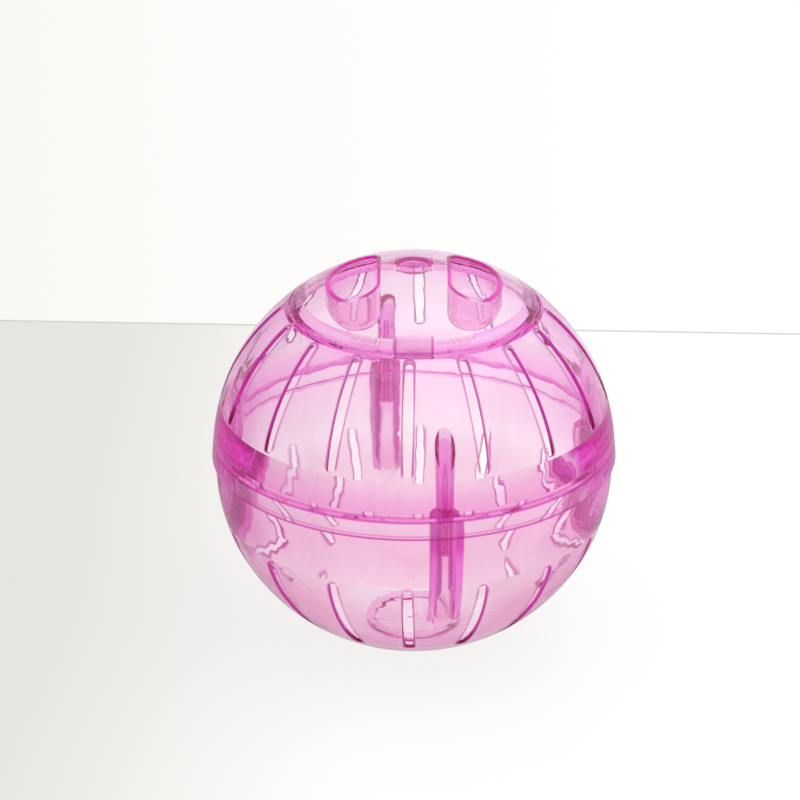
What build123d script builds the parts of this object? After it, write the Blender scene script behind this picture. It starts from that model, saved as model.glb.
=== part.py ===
from build123d import *
from math import acos, asin, copysign, cos, degrees, radians, sin, sqrt, tan
import os

# Small hamster ball: a lower half with post sockets, an upper half with post pins
# and a snap-in door. Millimetres, +Z up, origin at the centre of the flat foot.

# Driving dimensions: shell
ball_radius = 60.0
wall = 1.0
foot_radius = 14.5
floor_wall = 1.2
foot_ring_width = 2.4
foot_ring_height = 1.6
edge_round = 0.3

# Thicker bands inside the halves, which thin out on each side of the seam
skirt_band_wall = 3.2
rim_band_wall = 2.0
band_reach = 7.0
band_taper = 9.5

# Lap joint: the lower rim is drawn in on a tighter arc and slips inside the upper skirt
lap_height = 5.6
lap_clearance = 0.3
lip_gap = 0.15
skirt_wall = 0.9
rim_arc_angle = 30.0

# Air slots, wider outside than inside
slot_count = 16
slot_turn = -1.9
slot_width = 3.25
slot_draft = 10.0
slot_start_angle = 17.3
slot_end_angle = 50.5
slot_ledge_gap = 1.5
slot_corner_radius = 0.15
slot_edge_round = 0.3

# Posts: pins of the upper half stand in sockets of the lower half
post_count = 4
post_inset = 6.6
pin_root_radius = 2.9
pin_tip_radius = 2.1
pin_reach = 7.0
pin_bore_radius = 0.6
pin_bore_cap = 4.0
pin_clearance = 0.45
socket_wall = 1.6
socket_drop = 1.0

# Door and the ledge that it drops on
door_radius = 36.3
door_clearance = 0.3
door_rim_height = 0.9
door_rim_width = 4.0
door_seat_gap = 0.1
ledge_width = 4.3
ledge_wall = 1.1
opening_round_share = 0.9

# Finger wells on each side of the door's bridge
bridge_width = 21.2
well_ledge_gap = 7.7
well_corner_radius = 5.8
well_corner_share = 0.45
well_depth = 15.2
well_wall = 1.0
well_floor_round = 3.5
well_mouth_round = 0.4

# Tongues under the door, and the notches for them in the ledge and in the door's rim
tongue_count = 4
tongue_width = 10.5
tongue_wall = 1.2
tongue_inset = 1.4
tongue_reach = 1.0
bead_radius = 0.4
notch_clearance = 0.75
notch_roof_wall = 1.3

# Marks where the plastic entered the moulds
crown_gate_radius = 4.4
crown_gate_bevel = 1.6
crown_gate_depth = 0.8
crown_pad_depth = 1.2
foot_gate_radius = 2.2
foot_gate_depth = 0.4

# How far a cutting shape runs past what it cuts
overrun = 2.0

# Derived sizes, heights measured from the ball's equator
inner_radius = ball_radius - wall
mid_radius = ball_radius - wall / 2
foot_drop = sqrt(ball_radius**2 - foot_radius**2)
foot_angle = degrees(asin(foot_drop / ball_radius))
floor_drop = foot_drop - floor_wall
foot_ring_drop = floor_drop - foot_ring_height
foot_ring_inner_radius = foot_radius - foot_ring_width
bowl_angle = degrees(acos(foot_radius / inner_radius))
band_inner_radius = ball_radius - skirt_band_wall
band_top_angle = degrees(asin(band_reach / band_inner_radius))
taper_end = band_reach + band_taper
shell_band_angle = degrees(asin(taper_end / inner_radius))

skirt_top_angle = degrees(asin(lap_height / ball_radius))
skirt_outer_radius = ball_radius / cos(radians(skirt_top_angle))
skirt_inner_radius = skirt_outer_radius - skirt_wall
step_angle = degrees(asin(lap_height / band_inner_radius))
lip_height = lap_height - lip_gap

# The rim's arc leaves the sphere at rim_arc_angle and passes lap_clearance inside the skirt
rim_radius = skirt_inner_radius - lap_clearance
rim_cosine = cos(radians(rim_arc_angle))
rim_offset = (ball_radius**2 - rim_radius**2) / (2 * (ball_radius - rim_radius * rim_cosine))
rim_centre = (rim_offset * rim_cosine, -rim_offset * sin(radians(rim_arc_angle)))
rim_outer_arc = ball_radius - rim_offset
rim_inner_arc = inner_radius - rim_offset
rim_band_arc = ball_radius - rim_band_wall - rim_offset
core_top = lip_height + overrun
lip_top_angle = degrees(asin((lip_height - rim_centre[1]) / rim_outer_arc))
core_top_angle = degrees(asin((core_top - rim_centre[1]) / rim_band_arc))
rim_shell_angle = degrees(asin((-taper_end - rim_centre[1]) / rim_inner_arc))
rim_band_angle = degrees(asin((-band_reach - rim_centre[1]) / rim_band_arc))

door_edge_height = sqrt(ball_radius**2 - door_radius**2)
door_edge_angle = degrees(acos(door_radius / ball_radius))
seat_height = door_edge_height - door_rim_height
door_hollow_radius = door_radius - door_rim_width
door_hollow_angle = degrees(acos(door_hollow_radius / inner_radius))
opening_radius = door_radius + door_clearance
opening_angle = degrees(acos(opening_radius / ball_radius))
ledge_inner_radius = opening_radius - ledge_width
ledge_top = seat_height - door_seat_gap
ledge_under = ledge_top - ledge_wall
opening_wall = sqrt(ball_radius**2 - opening_radius**2) - ledge_top
opening_round_limit = opening_wall * tan(radians(opening_angle) / 2)
opening_round = min(edge_round, opening_round_share * opening_round_limit)
ledge_root_angle = degrees(asin(ledge_under / inner_radius))
upper_slot_end_angle = ledge_root_angle - degrees(slot_ledge_gap / ball_radius)

post_axis_radius = ball_radius - post_inset
post_turn = slot_turn + 180 / slot_count
pin_wall_height = sqrt(inner_radius**2 - post_axis_radius**2)
pin_bore_top = pin_wall_height - pin_bore_cap
socket_top = lip_height - socket_drop
pin_mouth_share = (pin_reach + socket_top) / (pin_reach + pin_wall_height)
pin_mouth_radius = pin_tip_radius + (pin_root_radius - pin_tip_radius) * pin_mouth_share
socket_bore_radius = pin_mouth_radius + pin_clearance
socket_radius = socket_bore_radius + socket_wall

well_radius = ledge_inner_radius - well_ledge_gap
well_width = well_radius - bridge_width / 2
well_corner = min(well_corner_radius, well_corner_share * well_width)
well_floor = ball_radius - well_depth
cup_floor = well_floor - well_wall
tongue_outer_radius = door_radius - tongue_inset
tongue_mid_radius = tongue_outer_radius - tongue_wall / 2
tongue_end = ledge_under - tongue_reach
notch_width = tongue_width + 2 * notch_clearance
notch_outer_radius = tongue_outer_radius + bead_radius + door_clearance
notch_depth = notch_outer_radius - ledge_inner_radius + overrun
crown_gate_floor = ball_radius - crown_gate_depth
crown_pad_bottom = inner_radius - crown_pad_depth
crown_gate_rim_radius = crown_gate_radius + crown_gate_bevel
crown_gate_rim = sqrt(ball_radius**2 - crown_gate_rim_radius**2)

# The ball's centre stands above the foot. Profiles lie in planes through the axis, turned
# so that the seam of a revolved wall runs between slots, posts, wells and tongues.
profile_turn = slot_turn + 1.5 * 360 / slot_count
door_profile_turn = 70.0
ball_centre = Vector(0, 0, foot_drop)
equator = Plane.XY.offset(foot_drop)
post_plane = Plane(ball_centre, x_dir=(1, 0, 0), z_dir=(0, -1, 0))
profile_plane = post_plane.rotated((0, 0, profile_turn))
door_plane = post_plane.rotated((0, 0, door_profile_turn))


def slot_cutter(band_angle, pole_angle):
    """Cutter for one slot on the +X side: flat towards the band, round towards the pole."""
    middle = radians((band_angle + pole_angle) / 2)
    half_turn = radians(abs(pole_angle - band_angle) / 2)
    outward = Vector(cos(middle), 0, sin(middle))
    poleward = Vector(-sin(middle), 0, cos(middle)) * copysign(1, pole_angle - band_angle)
    base_radius = inner_radius * cos(half_turn) - overrun
    base = Plane(ball_centre + outward * base_radius, x_dir=poleward, z_dir=outward)
    flare = tan(radians(slot_draft))
    half_width = slot_width / 2 - flare * (ball_radius - base_radius)
    end_radius = ball_radius * cos(half_turn)
    half_length = ball_radius * sin(half_turn) - flare * (end_radius - base_radius)
    with BuildPart() as cutter:
        with BuildSketch(base):
            with BuildLine():
                sides = Polyline(
                    (half_length - half_width, half_width),
                    (-half_length, half_width),
                    (-half_length, -half_width),
                    (half_length - half_width, -half_width),
                )
                RadiusArc(sides @ 1, sides @ 0, -half_width)
            make_face()
            fillet(vertices().sort_by(Axis.X)[:2], slot_corner_radius)
        extrude(amount=ball_radius + overrun - base_radius, taper=-slot_draft)
    return cutter.part


def outer_edges(candidates):
    """Those of the edges that lie on the ball's outer surface."""
    return candidates.filter_by(lambda edge: (edge @ 0.5 - ball_centre).length > mid_radius)


# Lower half: a bowl with a flat foot, a drawn-in rim, air slots and four sockets
with BuildPart() as socket_ring:
    with BuildSketch(equator.offset(socket_top)):
        with Locations((post_axis_radius, 0)):
            Circle(socket_radius)
            Rectangle(post_inset, 2 * socket_radius, align=(Align.MIN, Align.CENTER))
            Circle(socket_bore_radius, mode=Mode.SUBTRACT)
    extrude(amount=-(socket_top + foot_drop))

with BuildPart() as lower_core:
    with BuildSketch(profile_plane):
        with BuildLine():
            bowl_arc = CenterArc((0, 0), inner_radius, -bowl_angle, bowl_angle - rim_arc_angle)
            shell_arc = CenterArc(
                rim_centre, rim_inner_arc, -rim_arc_angle, rim_arc_angle + rim_shell_angle
            )
            band_arc = CenterArc(
                rim_centre, rim_band_arc, rim_band_angle, core_top_angle - rim_band_angle
            )
            Line(shell_arc @ 1, band_arc @ 0)
            Polyline(
                band_arc @ 1,
                (0, core_top),
                (0, -floor_drop),
                (foot_ring_inner_radius, -floor_drop),
                (foot_ring_inner_radius, -foot_ring_drop),
                (foot_radius, -foot_ring_drop),
                bowl_arc @ 0,
            )
        make_face()
    revolve(axis=Axis.Z)
    with PolarLocations(0, post_count, start_angle=post_turn):
        add(socket_ring.part, mode=Mode.SUBTRACT)

with BuildPart() as lower_half:
    with BuildSketch(profile_plane):
        with BuildLine():
            Line((0, -foot_drop), (foot_radius, -foot_drop))
            CenterArc((0, 0), ball_radius, -foot_angle, foot_angle - rim_arc_angle)
            rim_arc = CenterArc(
                rim_centre, rim_outer_arc, -rim_arc_angle, rim_arc_angle + lip_top_angle
            )
            Polyline(rim_arc @ 1, (0, lip_height), (0, -foot_drop))
        make_face()
    revolve(axis=Axis.Z)
    add(lower_core.part, mode=Mode.SUBTRACT)
    lip_edges = faces().sort_by(Axis.Z)[-1].edges().sort_by(SortBy.LENGTH)
    fillet(lip_edges[0], edge_round)
    lower_slot = slot_cutter(-slot_start_angle, -slot_end_angle)
    with PolarLocations(0, slot_count, start_angle=slot_turn):
        add(lower_slot, mode=Mode.SUBTRACT)
    fillet(outer_edges(edges(Select.LAST)), slot_edge_round)
    with BuildSketch():
        Circle(foot_gate_radius)
    extrude(amount=foot_gate_depth, mode=Mode.SUBTRACT)

# Upper half: a bowl turned over, with a skirt round the lower rim, a ledge for the
# door at the top, air slots and four pins
tip_corner = (post_axis_radius + pin_tip_radius, -pin_reach)
with BuildPart() as pin:
    with BuildSketch(post_plane):
        with BuildLine():
            Polyline(
                (post_axis_radius, -pin_reach),
                tip_corner,
                (post_axis_radius + pin_root_radius, pin_wall_height),
                (post_axis_radius + pin_root_radius, ball_radius),
                (post_axis_radius, ball_radius),
                close=True,
            )
        make_face()
        fillet(vertices().sort_by_distance(tip_corner)[0], edge_round)
    revolve(axis=Axis((post_axis_radius, 0, 0), (0, 0, 1)))
    with Locations(ball_centre):
        Sphere(mid_radius, mode=Mode.INTERSECT)
    with BuildSketch(equator.offset(-pin_reach)):
        with Locations((post_axis_radius, 0)):
            Circle(pin_bore_radius)
    extrude(amount=pin_reach + pin_bore_top, mode=Mode.SUBTRACT)

with BuildPart() as upper_half:
    with BuildSketch(profile_plane):
        with BuildLine():
            skirt_foot = Line((skirt_inner_radius, 0), (skirt_outer_radius, 0))
            outer_arc = CenterArc(
                (0, 0), ball_radius, skirt_top_angle, opening_angle - skirt_top_angle
            )
            Line(skirt_foot @ 1, outer_arc @ 0)
            shell_arc = CenterArc(
                (0, 0), inner_radius, ledge_root_angle, shell_band_angle - ledge_root_angle
            )
            band_arc = CenterArc(
                (0, 0), band_inner_radius, band_top_angle, step_angle - band_top_angle
            )
            Line(shell_arc @ 1, band_arc @ 0)
            Polyline(
                outer_arc @ 1,
                (opening_radius, ledge_top),
                (ledge_inner_radius, ledge_top),
                (ledge_inner_radius, ledge_under),
                shell_arc @ 0,
            )
            Polyline(band_arc @ 1, (skirt_inner_radius, lap_height), skirt_foot @ 0)
        make_face()
        fillet(vertices().sort_by_distance(skirt_foot @ 1)[0], edge_round)
        fillet(vertices().sort_by_distance(outer_arc @ 1)[0], opening_round)
    revolve(axis=Axis.Z)
    upper_slot = slot_cutter(slot_start_angle, upper_slot_end_angle)
    with PolarLocations(0, slot_count, start_angle=slot_turn):
        add(upper_slot, mode=Mode.SUBTRACT)
    fillet(outer_edges(edges(Select.LAST)), slot_edge_round)
    with BuildSketch(equator.offset(ledge_under - overrun)):
        with PolarLocations(notch_outer_radius, tongue_count):
            Rectangle(notch_depth, notch_width, align=(Align.MAX, Align.CENTER))
    extrude(amount=ledge_wall + overrun, mode=Mode.SUBTRACT)
    with PolarLocations(0, post_count, start_angle=post_turn):
        add(pin.part)

# Door: a domed cap with two finger wells, a gate mark on its crown and four tongues
with BuildPart() as well_cutter:
    with BuildSketch(equator.offset(well_floor)):
        Circle(well_radius)
        with Locations((bridge_width / 2, 0)):
            Rectangle(
                well_radius, 2 * well_radius,
                align=(Align.MIN, Align.CENTER), mode=Mode.INTERSECT,
            )
        fillet(vertices(), well_corner)
    extrude(amount=well_depth + overrun)
    fillet(faces().sort_by(Axis.Z)[0].edges(), well_floor_round)
    mirror(about=Plane.YZ)

with BuildPart() as well_cups:
    with BuildSketch(equator.offset(cup_floor)):
        Circle(well_radius + well_wall)
        with Locations((bridge_width / 2 - well_wall, 0)):
            Rectangle(
                well_radius + 2 * well_wall, 2 * (well_radius + well_wall),
                align=(Align.MIN, Align.CENTER), mode=Mode.INTERSECT,
            )
        fillet(vertices(), well_corner + well_wall)
    extrude(amount=well_depth + well_wall)
    fillet(faces().sort_by(Axis.Z)[0].edges(), well_floor_round + well_wall)
    mirror(about=Plane.YZ)
    with Locations(ball_centre):
        Sphere(mid_radius, mode=Mode.INTERSECT)

with BuildPart() as tongue:
    with BuildSketch(equator.offset(tongue_end)):
        with Locations((tongue_mid_radius, 0)):
            Rectangle(tongue_wall, tongue_width)
    extrude(amount=ball_radius - tongue_end)
    with BuildSketch(post_plane):
        with Locations((tongue_outer_radius, tongue_end + 2 * bead_radius)):
            Circle(bead_radius)
    extrude(amount=tongue_width / 2 - bead_radius, both=True)
    with Locations(ball_centre):
        Sphere(mid_radius, mode=Mode.INTERSECT)

with BuildPart() as door_hollow:
    with BuildSketch(door_plane):
        with BuildLine():
            hollow_arc = CenterArc(
                (0, 0), inner_radius, door_hollow_angle, 90 - door_hollow_angle
            )
            Polyline(
                hollow_arc @ 1,
                (0, seat_height - overrun),
                (door_hollow_radius, seat_height - overrun),
                hollow_arc @ 0,
            )
        make_face()
    revolve(axis=Axis.Z)

with BuildPart() as rim_notches:
    with BuildSketch(equator.offset(seat_height - overrun)):
        with PolarLocations(notch_outer_radius, tongue_count):
            Rectangle(notch_depth, notch_width, align=(Align.MAX, Align.CENTER))
    extrude(amount=ball_radius - seat_height)
    with Locations(ball_centre):
        Sphere(ball_radius - notch_roof_wall, mode=Mode.INTERSECT)

with BuildPart() as door:
    with BuildSketch(door_plane):
        with BuildLine():
            dome_arc = CenterArc((0, 0), ball_radius, door_edge_angle, 90 - door_edge_angle)
            Polyline(
                dome_arc @ 1,
                (0, seat_height),
                (door_radius, seat_height),
                dome_arc @ 0,
            )
        make_face()
        fillet(vertices().sort_by_distance(dome_arc @ 0)[0], edge_round)
    revolve(axis=Axis.Z)
    add(door_hollow.part, mode=Mode.SUBTRACT)
    add(rim_notches.part, mode=Mode.SUBTRACT)
    add(well_cups.part)
    with BuildSketch(equator.offset(crown_pad_bottom)):
        Circle(crown_gate_radius)
    extrude(amount=mid_radius - crown_pad_bottom)
    with PolarLocations(0, tongue_count):
        add(tongue.part)
    add(well_cutter.part, mode=Mode.SUBTRACT)
    fillet(outer_edges(edges(Select.LAST)), well_mouth_round)
    with BuildSketch(door_plane):
        with BuildLine():
            Polyline(
                (0, crown_gate_floor),
                (crown_gate_radius, crown_gate_floor),
                (crown_gate_rim_radius, crown_gate_rim),
                (crown_gate_rim_radius, ball_radius + overrun),
                (0, ball_radius + overrun),
                close=True,
            )
        make_face()
    revolve(axis=Axis.Z, mode=Mode.SUBTRACT)

# Write each piece to its own file
os.makedirs("parts", exist_ok=True)

lower_half.part.label = "lower_half"
export_step(lower_half.part, "parts/lower_half.step")

upper_half.part.label = "upper_half"
export_step(upper_half.part, "parts/upper_half.step")

door.part.label = "door"
export_step(door.part, "parts/door.step")
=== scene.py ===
# %% [markdown]
# # A clear pink hamster ball
# The ball is three mouldings of clear pink plastic: a lower half with four sockets, an upper
# half with four pins, and a round door with two finger wells. Their solids come with the
# frame at their real size. This script gives them their finish, a small white studio and a
# camera, and prints what it makes as it goes.

# %% Load the frame
from math import cos, pi, radians, sin

import bpy
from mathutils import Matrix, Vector


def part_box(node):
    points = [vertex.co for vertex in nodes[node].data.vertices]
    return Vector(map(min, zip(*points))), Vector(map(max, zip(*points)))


MILLIMETRE = 0.001
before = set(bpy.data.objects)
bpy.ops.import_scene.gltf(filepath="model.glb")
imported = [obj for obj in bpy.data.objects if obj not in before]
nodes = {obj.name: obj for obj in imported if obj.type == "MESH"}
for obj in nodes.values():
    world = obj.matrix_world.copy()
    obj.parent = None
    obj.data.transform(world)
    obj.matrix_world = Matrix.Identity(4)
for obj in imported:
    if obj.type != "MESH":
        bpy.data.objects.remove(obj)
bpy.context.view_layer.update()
print("CAD nodes:", ", ".join(sorted(nodes)))

# %% [markdown]
# ## Where things are
# The ball stands on a small flat foot at the origin, and everything else is easiest to
# measure from the middle of the ball. That lies at the height of the seam. The rim of the
# lower half slips up inside the skirt of the upper half, so its top is a known lap above
# the seam.

# %% Middle of the ball
ball_radius = 60.0 * MILLIMETRE
rim_above_seam = 5.45 * MILLIMETRE
seam_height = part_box("lower_half")[1].z - rim_above_seam
ball_centre = Vector((0, 0, seam_height))
print("middle of the ball at", round(seam_height / MILLIMETRE, 2), "mm")

# %% [markdown]
# ## Camera
# The photograph looks down at the ball from the front. The ball shows little perspective, so
# the camera is nearly a metre away with a long lens. A shift of the lens, and not a turn,
# moves the ball off the middle of the picture, so that the picture keeps its viewing angle.
# Blender gives a shift in shares of the picture's width, and a lens in millimetres.

# %% Camera
camera_distance = 906 * MILLIMETRE
camera_elevation = radians(25.27)
sensor_width_mm = 36.0
lens_length_mm = 136.3
lens_shift = (-0.0174, 0.0627)


def place_camera():
    """Puts the camera in front of the ball, aimed at its middle."""
    data = bpy.data.cameras.new("front_camera")
    data.sensor_width = sensor_width_mm
    data.lens = lens_length_mm
    data.shift_x, data.shift_y = lens_shift
    result = bpy.data.objects.new("front_camera", data)
    bpy.context.scene.collection.objects.link(result)
    backwards = Vector((0, -cos(camera_elevation), sin(camera_elevation)))
    result.location = ball_centre + camera_distance * backwards
    result.rotation_euler = (-backwards).to_track_quat("-Z", "Y").to_euler()
    bpy.context.scene.camera = result
    return result


camera = place_camera()
print("camera at", [round(x, 3) for x in camera.location])

# %% [markdown]
# ## Helpers for node trees
# Every finish below is a tree of shader nodes, and a tree written node by node is long to
# read. The first helpers add a node and fill its inputs by name, with a link or with a plain
# value, and start a group of nodes that several materials can share.


# %% Helpers that add nodes
def feed(tree, socket, value):
    """Links an output socket to an input, or sets the input to a plain value."""
    if isinstance(value, bpy.types.NodeSocket):
        tree.links.new(value, socket)
    else:
        socket.default_value = value


def add_node(tree, kind, settings=None, **values):
    """Adds a node, sets its own settings, then its inputs: a socket is linked, a value set."""
    node = tree.nodes.new("ShaderNode" + kind)
    for name, value in (settings or {}).items():
        setattr(node, name, value)
    for name, value in values.items():
        feed(tree, node.inputs[name.replace("_", " ")], value)
    return node


def new_group(name, values, results):
    """A group with a place and more values as inputs: its tree, its inputs and its outputs."""
    tree = bpy.data.node_groups.new(name, "ShaderNodeTree")
    tree.interface.new_socket("Place", in_out="INPUT", socket_type="NodeSocketVector")
    for value in values:
        tree.interface.new_socket(value, in_out="INPUT", socket_type="NodeSocketFloat")
    for result in results:
        tree.interface.new_socket(result, in_out="OUTPUT", socket_type="NodeSocketFloat")
    inputs = tree.nodes.new("NodeGroupInput").outputs
    outputs = tree.nodes.new("NodeGroupOutput").inputs
    return tree, inputs, outputs


print("helpers that add nodes are ready")

# %% [markdown]
# The others are short words for the sums that a finish is made of. A mask is 1 where a
# finish shows and 0 elsewhere. So the product of masks shows where all of them do, and the
# largest of them shows where any of them does.


# %% Helpers for sums
def calc(tree, operation, first, second=0.0, third=0.0):
    """The output of one Math node."""
    node = add_node(tree, "Math", {"operation": operation})
    for socket, value in zip(node.inputs, (first, second, third)):
        feed(tree, socket, value)
    return node.outputs["Value"]


def times(tree, result, *others):
    """The product of the values."""
    for value in others:
        result = calc(tree, "MULTIPLY", result, value)
    return result


def largest(tree, result, *others):
    """The largest of the values."""
    for value in others:
        result = calc(tree, "MAXIMUM", result, value)
    return result


def opposite(tree, mask):
    """0 where the mask is 1, and 1 where it is 0."""
    return calc(tree, "SUBTRACT", 1.0, mask)


def ramp(tree, value, start, end):
    """0 where the value is at start, 1 where it is at end, and smooth between them."""
    node = add_node(
        tree, "MapRange", {"interpolation_type": "SMOOTHSTEP"},
        Value=value, From_Min=start, From_Max=end,
    )
    return node.outputs["Result"]


def spread(tree, value, start, end, low=0.0, high=1.0):
    """Goes evenly from low to high while the value goes from start to end."""
    node = add_node(
        tree, "MapRange",
        Value=value, From_Min=start, From_Max=end, To_Min=low, To_Max=high,
    )
    return node.outputs["Result"]


print("helpers for sums are ready")


# %% Helpers for distances, noise and colours
def length_of(tree, vector):
    """The length of a vector."""
    node = add_node(tree, "VectorMath", {"operation": "LENGTH"})
    feed(tree, node.inputs[0], vector)
    return node.outputs["Value"]


def diagonal(tree, first, second):
    """The distance over two sides that stand at right angles."""
    corner = add_node(tree, "CombineXYZ", X=first, Y=second)
    return length_of(tree, corner.outputs["Vector"])


def noise(tree, place, per_metre, detail=0.0):
    """A random value, from 0 to 1, with about so many bumps in a metre."""
    node = add_node(tree, "TexNoise", Vector=place, Scale=per_metre, Detail=detail)
    return node.outputs["Fac"]


def blend_colours(tree, share, first, second, way="MIX"):
    """The output of one Mix node for colours."""
    node = add_node(tree, "Mix", {"data_type": "RGBA", "blend_type": way})
    colours = [socket for socket in node.inputs if socket.type == "RGBA"]
    feed(tree, node.inputs[0], share)
    feed(tree, colours[0], first)
    feed(tree, colours[1], second)
    return next(socket for socket in node.outputs if socket.type == "RGBA")


print("helpers for distances, noise and colours are ready")

# %% [markdown]
# ## Studio
# A clear object shows what is round it, so the room matters more than the lamps. The camera,
# and whatever it sees through the plastic, gets a plain white room. What the plastic mirrors
# is another matter: the real room is darker on the left, brighter on the right and brightest
# overhead, which draws a thin dark edge round the left of the ball and lets its right edge
# and its crown fade into white. A Light Path node tells the two apart. The sides below are
# the X and Z of the direction in which a ray leaves.

# %% White room
paper_white = (1.0, 1.0, 1.0, 1)
warm_white = (0.955, 0.94, 0.91, 1)
warm_side, white_side = -0.14, 0.06
dark_side, bright_side = -0.9, 0.5
dark_level, bright_level = 0.55, 1.0
overhead_start, overhead_full = 0.3, 0.9
overhead_share = 0.6


def white_room():
    """A world that is white to look at, and uneven in what the plastic mirrors."""
    world = bpy.data.worlds.new("white_room")
    bpy.context.scene.world = world
    world.use_nodes = True
    tree = world.node_tree
    tree.nodes.clear()
    direction = add_node(tree, "TexCoord").outputs["Generated"]
    way = add_node(tree, "SeparateXYZ", Vector=direction).outputs
    to_right = spread(tree, way["X"], warm_side, white_side)
    tone = blend_colours(tree, to_right, warm_white, paper_white)
    from_side = spread(tree, way["X"], dark_side, bright_side, dark_level, bright_level)
    overhead = times(tree, ramp(tree, way["Z"], overhead_start, overhead_full), overhead_share)
    mirrored = calc(tree, "ADD", from_side, overhead)
    path = add_node(tree, "LightPath").outputs
    looked_at = largest(tree, path["Is Camera Ray"], path["Is Transmission Ray"])
    level = calc(tree, "MULTIPLY_ADD", opposite(tree, mirrored), looked_at, mirrored)
    backdrop = add_node(tree, "Background", Color=tone, Strength=level)
    output = add_node(tree, "OutputWorld")
    tree.links.new(backdrop.outputs["Background"], output.inputs["Surface"])
    return world


print("world:", white_room().name)

# %% [markdown]
# ## Table
# The ball stands on a pale table whose far edge shows behind it. The table is a thin slab
# with a rounded edge, turned a little against the camera. What the camera sees of its top is
# mostly glow, so that it is as white as the room, and the rest is a satin surface that takes
# the ball's shadow. Seen through the plastic it keeps less of the shadow. Mirrored in the
# plastic it glows half as strongly, so that the underside of the ball isn't washed out. A
# ray that passes through clear plastic counts as glossy too, so only the glossy rays that
# passed through nothing are mirrored ones. The table lies a hair below the foot, so that the
# foot keeps its layer of air and stays clear.

# %% Finish of the table
table_edge_round = 2 * MILLIMETRE
table_back = 0.234
shade_end, light_start = -0.13, 0.0
shaded_table = (0.77, 0.757, 0.73, 1)
lit_table = (0.985, 0.98, 0.965, 1)
# painted shade along the table's far rounded edge, where the top turns down
shaded_far_edge = (0.62, 0.63, 0.61, 1)
table_grain_per_metre = 60.0
satin_roughness = (0.3, 0.45)
glow_looked_at = 0.85
glow_through = 0.9
mirrored_glow = 0.5


def table_finish():
    """Pale satin lacquer, painted shade on the left and on the far edge, bright on the right."""
    material = bpy.data.materials.new("pale_table")
    material.use_nodes = True
    tree = material.node_tree
    shader = tree.nodes["Principled BSDF"]
    place = add_node(tree, "TexCoord").outputs["Object"]
    side = add_node(tree, "SeparateXYZ", Vector=place).outputs
    to_right = ramp(tree, side["X"], shade_end, light_start)
    edge_start = table_back - 2 * table_edge_round
    at_edge = ramp(tree, side["Y"], edge_start, edge_start + table_edge_round)
    tone = blend_colours(tree, to_right, shaded_table, lit_table)
    tone = blend_colours(tree, at_edge, tone, shaded_far_edge)
    feed(tree, shader.inputs["Base Color"], tone)
    grain = noise(tree, place, table_grain_per_metre, detail=3.0)
    feed(tree, shader.inputs["Roughness"], spread(tree, grain, 0.0, 1.0, *satin_roughness))

    path = add_node(tree, "LightPath").outputs
    looked_at = times(tree, path["Is Camera Ray"], glow_looked_at)
    through = times(tree, path["Is Transmission Ray"], glow_through)
    mirrored = times(
        tree, path["Is Glossy Ray"], opposite(tree, path["Is Transmission Ray"])
    )
    strength = calc(tree, "MULTIPLY_ADD", mirrored, mirrored_glow - 1.0, 1.0)
    glow = add_node(tree, "Emission", Color=tone, Strength=strength)
    mix = add_node(tree, "MixShader", Fac=largest(tree, looked_at, through, mirrored))
    tree.links.new(shader.outputs["BSDF"], mix.inputs[1])
    tree.links.new(glow.outputs["Emission"], mix.inputs[2])
    tree.links.new(mix.outputs["Shader"], tree.nodes["Material Output"].inputs["Surface"])
    return material


pale_table = table_finish()
print("finish:", pale_table.name)

# %% Table
table_drop = 0.2 * MILLIMETRE
table_thickness = 12 * MILLIMETRE
table_edge_steps = 3
table_width = 3.0
table_front = -2.0
table_turn = radians(-2.5)


def table():
    """A slab with a rounded edge, as a stage for the ball."""
    data = bpy.data.meshes.new("table_top")
    x, top, bottom = table_width / 2, -table_drop, -table_drop - table_thickness
    corners = [(-x, table_front), (x, table_front), (x, table_back), (-x, table_back)]
    points = [(px, py, z) for z in (bottom, top) for px, py in corners]
    faces = [(3, 2, 1, 0), (4, 5, 6, 7)]
    faces += [(i, (i + 1) % 4, (i + 1) % 4 + 4, i + 4) for i in range(4)]
    data.from_pydata(points, [], faces)
    result = bpy.data.objects.new("table_top", data)
    bpy.context.scene.collection.objects.link(result)
    result.rotation_euler.z = table_turn
    bevel = result.modifiers.new("rounded edge", "BEVEL")
    bevel.width = table_edge_round
    bevel.segments = table_edge_steps
    data.materials.append(pale_table)
    return result


print("stage:", table().name)

# %% [markdown]
# ## Lamp
# The white room lights the ball evenly. One wide lamp overhead adds a little shape. It is as
# large as a ceiling panel and weak, because a smaller one would show as a hard white patch
# on every wall of a clear ball.


# %% Ceiling panel
def square_lamp(name, place, size, watts):
    """A square lamp that points at the middle of the ball."""
    data = bpy.data.lights.new(name, "AREA")
    data.size = size
    data.energy = watts
    lamp = bpy.data.objects.new(name, data)
    bpy.context.scene.collection.objects.link(lamp)
    lamp.location = place
    lamp.rotation_euler = (ball_centre - lamp.location).to_track_quat("-Z", "Y").to_euler()
    return lamp


ceiling_panel = square_lamp(
    "ceiling_panel", place=Vector((0.4, -0.2, 1.6)), size=1.8, watts=5.0
)
print("lamp:", ceiling_panel.name)

# %% [markdown]
# ## Waves in the moulding
# The walls look wavy: lines behind them run in jags, because the polish of a cheap mould
# is uneven. A slow noise gives the long swells, and a finer one the small jags. Both depend
# on the place in the object alone, so they stay where they are as the camera moves. The
# waves are a node group, because the halves and the door use them with other depths.


# %% Group of waves
def wave_group():
    """Height of the waves, from 0 to about 1, at a place in the object."""
    values = ["Swells per metre", "Jags per metre", "Jag share"]
    tree, given, result = new_group("moulding_waves", values, ["Height"])
    swells = noise(tree, given["Place"], given["Swells per metre"])
    jags = noise(tree, given["Place"], given["Jags per metre"])
    height = calc(tree, "MULTIPLY_ADD", jags, given["Jag share"], swells)
    tree.links.new(height, result["Height"])
    return tree


waves = wave_group()
print("group:", waves.name)

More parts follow.
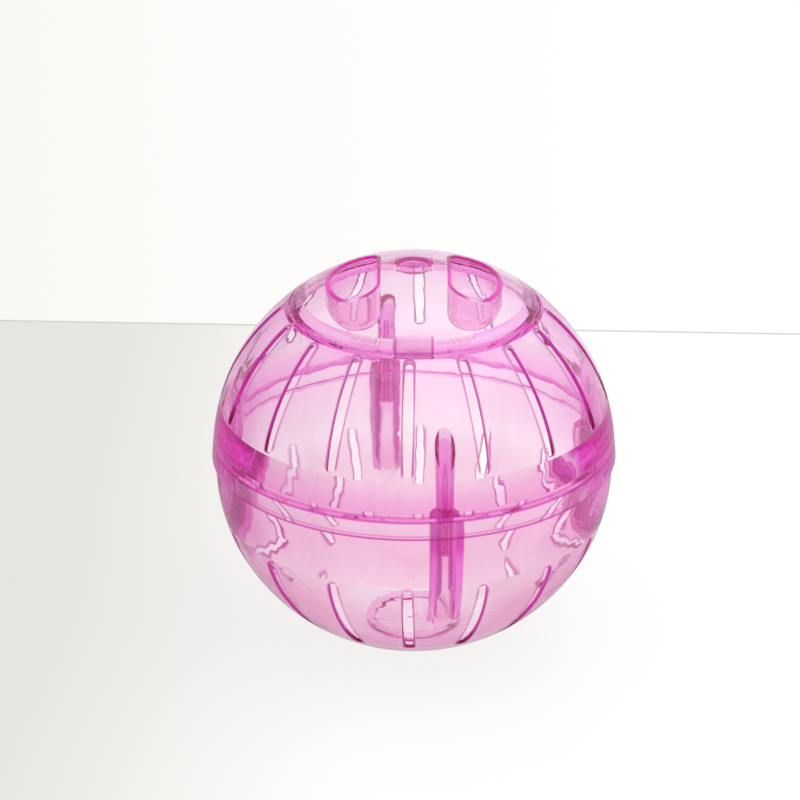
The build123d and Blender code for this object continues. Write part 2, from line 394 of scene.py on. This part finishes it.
# %% [markdown]
# ## Marks of handling
# A ball that has been rolled and handled is dulled by fine scratches and a few cloudy
# patches. The scratches are a noise that is stretched along one direction and cut to its
# peaks, and the patches are a slow noise. They change only the roughness.

# %% Group of handling marks
scratch_turn = (0.5, 0.3, 0.9)
scratches_per_metre = (60.0, 900.0, 900.0)
scratch_peaks = (0.62, 0.72)
scratch_dullness = 0.5
patches_per_metre = 45.0
patch_peaks = (0.45, 0.8)
patch_dullness = 0.6


def handling_group():
    """How dulled the surface is at a place, from 0 to 1."""
    tree, given, result = new_group("handling_marks", [], ["Dullness"])
    drawn_out = add_node(
        tree, "Mapping",
        Vector=given["Place"], Rotation=scratch_turn, Scale=scratches_per_metre,
    ).outputs["Vector"]
    scratch = noise(tree, drawn_out, 1.0, detail=2.0)
    cloud = noise(tree, given["Place"], patches_per_metre, detail=3.0)
    dull = largest(
        tree, spread(tree, scratch, *scratch_peaks, high=scratch_dullness),
        spread(tree, cloud, *patch_peaks, high=patch_dullness),
    )
    tree.links.new(dull, result["Dullness"])
    return tree


marks = handling_group()
print("group:", marks.name)

# %% [markdown]
# ## Deep places
# The colour is not quite even. It shows strongest where the plastic is thick or where light is
# caught: at the seam, in the posts, along cut edges and round the door. Absorption in the
# thickness gives most of that, and masks add the rest as a tint of the skin. In the thick places
# the tint is the plastic's own deeper colour. On the cut edges, and on the lines at the lap and
# round the door's rim, it is painted: a deep colour that stands in for the light that runs
# inside the wall and bends at the edges. On the sides of the webs it is partly painted shade,
# and on the belly it is painted shade. A painted texture would need an unwrapped mesh and a
# picture. These masks need neither, because they are worked out from the place in the object,
# measured from the middle of the ball: its height above the seam, its radius round the upright
# axis and its distance from the middle. A pair of limits that runs downwards gives a mask that
# grows downwards or inwards.

# %% Limits of a mask
edge_blur = 0.3 * MILLIMETRE


def over(tree, value, limit):
    """1 over a limit and 0 under it, with a narrow blur."""
    return ramp(tree, value, limit - edge_blur, limit)


def under(tree, value, limit):
    """1 under a limit and 0 over it, with a narrow blur."""
    return ramp(tree, value, limit + edge_blur, limit)


def between(tree, value, limits):
    """1 between two limits and 0 outside them."""
    low, high = limits
    return times(tree, over(tree, value, low), under(tree, value, high))


def fold(tree, first, second):
    """The larger and the smaller of two sides, so that four like places fold onto one."""
    first, second = calc(tree, "ABSOLUTE", first), calc(tree, "ABSOLUTE", second)
    return largest(tree, first, second), calc(tree, "MINIMUM", first, second)


print("masks are blurred over", edge_blur / MILLIMETRE, "mm")

# %% [markdown]
# ### Seam and belly
# Both halves are thick at the seam and thin out away from it, the upper half more so. The
# lap between them is where the lower rim stands inside the skirt, and a thin painted line marks
# each end of it: a deep colour for the light that the edges of the step bend. Farther down, the
# belly of the lower half is a little deeper than the wall above: painted shade, for the shadow
# under the ball that shows through its lower wall.

# %% Masks of the seam and the belly
lap_top = rim_above_seam + 0.15 * MILLIMETRE
band_top = 17.0 * MILLIMETRE
band_bottom = -22.0 * MILLIMETRE
lower_band_share = 0.75
lower_tail_share = 0.03
skirt_line = (0.0 * MILLIMETRE, 0.2 * MILLIMETRE)
lap_line = (rim_above_seam - 0.25 * MILLIMETRE, rim_above_seam + 0.55 * MILLIMETRE)
belly_top = (-14.0 * MILLIMETRE, -30.0 * MILLIMETRE)
belly_bottom = (-56.5 * MILLIMETRE, -52.0 * MILLIMETRE)


def band_mask(tree, height):
    """Strong just above the lap, weaker below the seam, with a faint tail to the foot."""
    upper = times(tree, over(tree, height, lap_top), ramp(tree, height, band_top, lap_top))
    fading = times(tree, ramp(tree, height, band_bottom, 0.0), lower_band_share)
    below_seam = under(tree, height, -edge_blur)
    lower = times(tree, below_seam, largest(tree, fading, lower_tail_share))
    return largest(tree, upper, lower)


def painted_line_mask(tree, height):
    """The painted lines at the skirt's edge and at the top of the lap."""
    return largest(tree, between(tree, height, skirt_line), between(tree, height, lap_line))


def belly_shade_mask(tree, height):
    """Painted shade on the lower half, from under its band to just above its foot."""
    return times(tree, ramp(tree, height, *belly_top), ramp(tree, height, *belly_bottom))


print("seam bands from", band_bottom / MILLIMETRE, "to", band_top / MILLIMETRE, "mm")

# %% [markdown]
# ### Posts
# Four pins stand in four sockets, a quarter turn apart, and a web joins each socket to the
# wall. Folding the object over its planes of symmetry puts the four posts onto one, so one
# distance serves them all. The pins are the deepest. The sides of the webs are tinted, but
# not the outer skin in front of them, so that the tint stays with the web from every side.
# That tint is partly the longer path through the socket walls and partly painted shade, for
# the dark edges that the round sockets bend into view.

# %% Masks of the posts
post_turn = radians(9.35)
post_axis_radius = 53.4 * MILLIMETRE
inside_wall = ball_radius - 2.8 * MILLIMETRE
pin_reach = 2.6 * MILLIMETRE
pin_swell = 0.6 * MILLIMETRE
socket_reach = 4.8 * MILLIMETRE
socket_top = 4.4 * MILLIMETRE
socket_share = 0.2
web_side = (2.5 * MILLIMETRE, 4.6 * MILLIMETRE)
web_height = (-30.0 * MILLIMETRE, socket_top)
web_radius = 45.0 * MILLIMETRE
web_skin = (ball_radius - 0.5 * MILLIMETRE, ball_radius - 0.8 * MILLIMETRE)


def post_masks(tree, centred, height, from_centre):
    """Masks of the posts, the sockets weaker than the pins, and of the webs: partly painted
    shade.
    """
    turned = add_node(tree, "Mapping", Vector=centred, Rotation=(0, 0, -post_turn))
    side = add_node(tree, "SeparateXYZ", Vector=turned.outputs["Vector"]).outputs
    outward, aside = fold(tree, side["X"], side["Y"])
    from_axis = diagonal(tree, calc(tree, "SUBTRACT", outward, post_axis_radius), aside)
    over_socket = over(tree, height, socket_top + edge_blur)
    pin_limit = calc(tree, "MULTIPLY_ADD", over_socket, pin_swell, pin_reach)
    pin = calc(tree, "LESS_THAN", from_axis, pin_limit)
    socket = times(
        tree, under(tree, from_axis, socket_reach), under(tree, height, socket_top), socket_share
    )
    posts = times(tree, largest(tree, pin, socket), under(tree, from_centre, inside_wall))
    webs = times(
        tree, between(tree, aside, web_side), between(tree, height, web_height),
        calc(tree, "GREATER_THAN", outward, web_radius), ramp(tree, from_centre, *web_skin),
    )
    return posts, webs


print("posts", round(post_axis_radius / MILLIMETRE, 1), "mm from the axis")

# %% [markdown]
# ### Slots and tongues
# Light that runs inside a wall comes out at its cut edges, so the lips of the air slots and
# the sides of the door's tongues look deep. That deep colour is painted on the skin as a tint.
# The slots repeat round the axis. The angle round it is wrapped to one slot, which gives the
# distance from the middle of the nearest slot.

# %% Mask of the slots
slot_count = 16
slot_turn = radians(-1.9)
slot_start, slot_end = radians(17.3) * ball_radius, radians(50.5) * ball_radius
slot_half_width = 1.63 * MILLIMETRE
slot_edge = 0.15 * MILLIMETRE
slot_middle = (slot_half_width / 2, slot_half_width * 3 / 4)
slot_lip = (ball_radius - 0.8 * MILLIMETRE, ball_radius - 0.5 * MILLIMETRE)
upper_slot_share, lower_slot_share = 0.8, 0.3


def slot_mask(tree, part, radius, from_centre):
    """Painted edge colour: 1 on the slots' lips, less on their walls. Their pole ends are round.
    """
    angle = calc(tree, "SUBTRACT", calc(tree, "ARCTAN2", part["Y"], part["X"]), slot_turn)
    half_step = pi / slot_count
    aside = times(tree, calc(tree, "WRAP", angle, half_step, -half_step), radius)
    tilt = calc(tree, "ARCTAN2", calc(tree, "ABSOLUTE", part["Z"]), radius)
    run = times(tree, tilt, ball_radius)
    past_end = calc(tree, "SUBTRACT", run, slot_end - slot_half_width)
    distance = diagonal(tree, aside, largest(tree, past_end, 0.0))
    limit = slot_half_width + slot_edge
    near = ramp(tree, distance, limit + slot_edge, limit)
    in_upper = calc(tree, "GREATER_THAN", part["Z"], 0.0)
    wall_share = calc(
        tree, "MULTIPLY_ADD", in_upper, upper_slot_share - lower_slot_share, lower_slot_share
    )
    lip = largest(tree, ramp(tree, from_centre, *slot_lip), wall_share)
    started = ramp(tree, run, slot_start, slot_start + slot_half_width)
    return times(tree, near, ramp(tree, distance, *slot_middle), lip, started)


print("slots every", round(360 / slot_count, 1), "degrees")

# %% Mask of the tongues
tongue_radius = (32.0 * MILLIMETRE, 36.2 * MILLIMETRE)
tongue_height = (44.2 * MILLIMETRE, 50.8 * MILLIMETRE)
tongue_side = (5.0 * MILLIMETRE, 5.5 * MILLIMETRE)
tongue_foot = 45.1 * MILLIMETRE
tongue_share = 0.35


def tongue_mask(tree, part):
    """The four tongues, folded onto one: painted edge colour, strong at their sides and feet."""
    outward, aside = fold(tree, part["X"], part["Y"])
    zone = times(
        tree, between(tree, outward, tongue_radius), between(tree, part["Z"], tongue_height)
    )
    face = largest(tree, under(tree, part["Z"], tongue_foot), tongue_share)
    plate = times(tree, calc(tree, "LESS_THAN", aside, tongue_side[1]), face)
    return times(tree, zone, largest(tree, between(tree, aside, tongue_side), plate))


print("tongues up to", round(tongue_height[1] / MILLIMETRE, 1), "mm above the seam")

# %% [markdown]
# ### Rings, crown and wells
# The door's thick rim sits in the ledge of its hole, and two deep lines are painted round it,
# for the light that its edges bend. The ring inside the foot is the same, but weaker. The disc
# on the door's crown is the place where the plastic entered the mould, and it is the pinkest
# spot of all. The finger wells are pockets under the door's skin.

# %% Masks of the rings and the crown
door_ring = (31.9 * MILLIMETRE, 38.2 * MILLIMETRE)
door_ring_height = (44.0 * MILLIMETRE, 48.3 * MILLIMETRE)
door_ring_share = 0.35
door_inner_line = (31.9 * MILLIMETRE, 32.5 * MILLIMETRE)
door_outer_line = (35.0 * MILLIMETRE, 37.3 * MILLIMETRE)
foot_ring = (11.9 * MILLIMETRE, 14.8 * MILLIMETRE)
foot_ring_top = -55.2 * MILLIMETRE
foot_ring_share = 0.35
crown_disc_radius = 4.6 * MILLIMETRE
crown_height = ball_radius - 1.4 * MILLIMETRE


def ring_mask(tree, height, radius):
    """The door's rim with its ledge and painted lines and, weaker, the foot's ring."""
    door_lines = largest(
        tree, between(tree, radius, door_inner_line), between(tree, radius, door_outer_line)
    )
    door_face = times(tree, between(tree, radius, door_ring), door_ring_share)
    door_band = times(
        tree, largest(tree, door_lines, door_face), between(tree, height, door_ring_height)
    )
    foot_band = times(
        tree, between(tree, radius, foot_ring), under(tree, height, foot_ring_top),
        foot_ring_share,
    )
    return largest(tree, door_band, foot_band)


def crown_mask(tree, height, radius):
    """The thick disc on the door's crown."""
    return times(
        tree, under(tree, radius, crown_disc_radius), over(tree, height, crown_height)
    )


print("crown disc", round(2 * crown_disc_radius / MILLIMETRE, 1), "mm wide")

# %% Mask of the wells
well_roof = (ball_radius - 1.4 * MILLIMETRE, ball_radius - 2.2 * MILLIMETRE)
well_side = (9.5 * MILLIMETRE, 10.2 * MILLIMETRE)
well_reach = (31.5 * MILLIMETRE, 31.0 * MILLIMETRE)
well_bottom = (40.0 * MILLIMETRE, 41.0 * MILLIMETRE)


def well_mask(tree, part, radius, from_centre):
    """The walls and floors of the door's two finger wells."""
    sunk = times(
        tree, ramp(tree, from_centre, *well_roof), ramp(tree, part["Z"], *well_bottom)
    )
    aside = ramp(tree, calc(tree, "ABSOLUTE", part["X"]), *well_side)
    return times(tree, sunk, aside, ramp(tree, radius, *well_reach))


print("wells from", round(well_bottom[0] / MILLIMETRE, 1), "mm above the seam")

# %% [markdown]
# ### One group for all masks
# The halves and the door share the masks, so one group holds them, with a named output for
# each. The group gives masks alone. The materials decide what they do: most tint the skin,
# and some change its roughness too.


# %% Group of deep places
def deep_places_group():
    """All the masks at a place in the object, each as an output of its own."""
    names = ["Band", "Lap", "Lines", "Belly shade", "Posts", "Webs"]
    names += ["Edges", "Rings", "Crown", "Wells"]
    tree, given, result = new_group("deep_places", [], names)
    centred = add_node(
        tree, "Mapping", Vector=given["Place"], Location=(0, 0, -seam_height)
    ).outputs["Vector"]
    part = add_node(tree, "SeparateXYZ", Vector=centred).outputs
    height, radius = part["Z"], diagonal(tree, part["X"], part["Y"])
    from_centre = length_of(tree, centred)
    slots = slot_mask(tree, part, radius, from_centre)
    masks = [
        band_mask(tree, height), between(tree, height, (0.0, lap_top)),
        painted_line_mask(tree, height), belly_shade_mask(tree, height),
        *post_masks(tree, centred, height, from_centre),
        largest(tree, slots, tongue_mask(tree, part)), ring_mask(tree, height, radius),
        crown_mask(tree, height, radius), well_mask(tree, part, radius, from_centre),
    ]
    for name, mask in zip(names, masks):
        tree.links.new(mask, result[name])
    return tree


deep_places = deep_places_group()
print("group:", deep_places.name)

# %% [markdown]
# ## Clear pink plastic
# The colour of clear plastic is in its thickness and not on its skin: a thin wall is a pale
# pink, a post or an edge that light runs along is a deep magenta. So the colour is an
# absorption in the volume, which takes most of the green, a little of the blue and hardly
# any red. The skin is nearly colourless.
#
# Each deep place then multiplies the skin by a tint of its own. A wall that is seen from the
# side shows more plastic too, so another tint follows the angle of view. It is strongest in
# the bands at the seam, and cut edges, which have their own tint, are spared it.

# %% Skin of the plastic
streaks_per_metre = 30.0
pale_skin = (0.998, 0.985, 0.985, 1)
pink_skin = (0.99, 0.965, 0.968, 1)
# The line, edge and web tints are painted: deep colour for light bent at edges, the web one
# partly painted shade. The belly tint is painted shade, and the ring tint is painted on the
# door's two rim lines.
band_tint = (0.99, 0.84, 0.93, 1)
painted_line_tint = (0.82, 0.24, 0.68, 1)
belly_shade_tint = (0.965, 0.79, 0.87, 1)
post_tint = (0.92, 0.44, 0.86, 1)
web_shade_tint = (0.70, 0.19, 0.58, 1)
painted_edge_tint = (0.78, 0.24, 0.66, 1)
ring_tint = (0.97, 0.60, 0.90, 1)
crown_tint = (1.0, 0.22, 0.80, 1)
well_tint = (0.995, 0.88, 0.965, 1)
well_side_tint = (0.96, 0.50, 0.86, 1)
outline_tint = (0.95, 0.64, 0.88, 1)
band_outline_tint = (0.86, 0.22, 0.72, 1)
outline_view = (0.3, 0.95)
band_outline_view = (0.3, 0.8)
full_band = 0.6


def plastic_skin(tree, place, deep, outline_share):
    """Colour of the skin: pale streaks, tinted in the deep places and towards the outline."""
    facing = add_node(tree, "LayerWeight").outputs["Facing"]
    sidelong = ramp(tree, facing, *outline_view)
    uncut = times(tree, opposite(tree, deep["Edges"]), outline_share)
    seam = ramp(tree, largest(tree, deep["Band"], deep["Lap"]), 0.0, full_band)
    tints = [
        (deep["Band"], band_tint), (deep["Lines"], painted_line_tint), (deep["Belly shade"], belly_shade_tint),
        (deep["Posts"], post_tint), (deep["Webs"], web_shade_tint), (deep["Edges"], painted_edge_tint),
        (deep["Rings"], ring_tint), (deep["Crown"], crown_tint), (deep["Wells"], well_tint),
        (times(tree, sidelong, deep["Wells"]), well_side_tint),
        (times(tree, sidelong, uncut), outline_tint),
        (times(tree, ramp(tree, facing, *band_outline_view), uncut, seam), band_outline_tint),
    ]
    streaks = noise(tree, place, streaks_per_metre, detail=2.0)
    skin = blend_colours(tree, streaks, pale_skin, pink_skin)
    for share, tint in tints:
        skin = blend_colours(tree, share, skin, tint, "MULTIPLY")
    return skin


print("skin ready")

# %% [markdown]
# The skin is glossy where nothing has touched it. Cut edges are matt, as a mould leaves them,
# and the pins are a little cloudy. The waves go into the direction of the surface through a
# Bump node, because waves of about a tenth of a millimetre show in what is seen through a
# wall and not in its outline.

# %% Surface of the plastic
glossy_roughness = 0.02
edge_roughness = 0.4
post_roughness = 0.08
swells_per_metre = 90.0
jags_per_metre = 260.0
jag_share = 0.3


def plastic_roughness(tree, place, deep, dulled):
    """Roughness of the skin, up to dulled where it is handled most."""
    dull = add_node(tree, "Group", {"node_tree": marks}, Place=place).outputs["Dullness"]
    return largest(
        tree, spread(tree, dull, 0.0, 1.0, glossy_roughness, dulled),
        times(tree, deep["Edges"], edge_roughness), times(tree, deep["Posts"], post_roughness),
    )


def plastic_waves(tree, place, depth):
    """Direction of a surface with waves of the given depth."""
    wave = add_node(
        tree, "Group", {"node_tree": waves}, Place=place, Swells_per_metre=swells_per_metre,
        Jags_per_metre=jags_per_metre, Jag_share=jag_share,
    )
    bump = add_node(
        tree, "Bump", Strength=1.0, Distance=depth, Height=wave.outputs["Height"]
    )
    return bump.outputs["Normal"]


print("surface ready")

# %% [markdown]
# The three mouldings share one finish with their own strengths. The lower half has the
# palest plastic and the smoothest wall. The door is seen at a slant all over, so it takes
# less of the tint that follows the angle of view.

# %% Clear pink plastic
refraction = 1.47
absorption_colour = (0.93, 0.07, 0.82, 1)


def clear_pink_plastic(name, absorption_per_metre, wave_depth, dulled, outline_share):
    """Clear plastic with waves of the given depth, dulled and deepened as much as given."""
    material = bpy.data.materials.new(name)
    material.use_nodes = True
    tree = material.node_tree
    shader = tree.nodes["Principled BSDF"]
    shader.inputs["IOR"].default_value = refraction
    shader.inputs["Transmission Weight"].default_value = 1.0
    place = add_node(tree, "TexCoord").outputs["Object"]
    deep = add_node(tree, "Group", {"node_tree": deep_places}, Place=place).outputs
    feed(tree, shader.inputs["Base Color"], plastic_skin(tree, place, deep, outline_share))
    feed(tree, shader.inputs["Roughness"], plastic_roughness(tree, place, deep, dulled))
    feed(tree, shader.inputs["Normal"], plastic_waves(tree, place, wave_depth))

    absorb = add_node(tree, "VolumeAbsorption")
    absorb.inputs["Color"].default_value = absorption_colour
    absorb.inputs["Density"].default_value = absorption_per_metre
    tree.links.new(absorb.outputs["Volume"], tree.nodes["Material Output"].inputs["Volume"])
    return material


lower_plastic = clear_pink_plastic(
    "lower_plastic", absorption_per_metre=75.0, wave_depth=0.05 * MILLIMETRE,
    dulled=0.10, outline_share=1.0,
)
upper_plastic = clear_pink_plastic(
    "upper_plastic", absorption_per_metre=128.0, wave_depth=0.13 * MILLIMETRE,
    dulled=0.10, outline_share=1.0,
)
door_plastic = clear_pink_plastic(
    "door_plastic", absorption_per_metre=95.0, wave_depth=0.10 * MILLIMETRE,
    dulled=0.08, outline_share=0.3,
)
print("finishes:", lower_plastic.name, upper_plastic.name, door_plastic.name)

# %% [markdown]
# ## Dressing the mouldings
# The solids already have every form of the real ball, so nothing is modelled over them. They
# keep their shape and place, and each takes its plastic in one material slot.


# %% Dress the mouldings
def dress(node, material):
    """Gives a CAD node one material."""
    nodes[node].data.materials.clear()
    nodes[node].data.materials.append(material)
    print(node, "is made of", material.name)


dress("lower_half", lower_plastic)
dress("upper_half", upper_plastic)
dress("door", door_plastic)

# %% [markdown]
# ## Light inside the walls
# Light that enters a clear wall runs along it for many reflections before it comes out at an
# edge. With few reflections the edges of the slots turn black, so the limits go up until
# they are the deep magenta of the real edges.

# %% Rendering limits and the end
wall_bounces = 64
scene = bpy.context.scene
scene.view_settings.view_transform = "Standard"
scene.cycles.max_bounces = wall_bounces
scene.cycles.transmission_bounces = wall_bounces
scene.cycles.glossy_bounces = wall_bounces
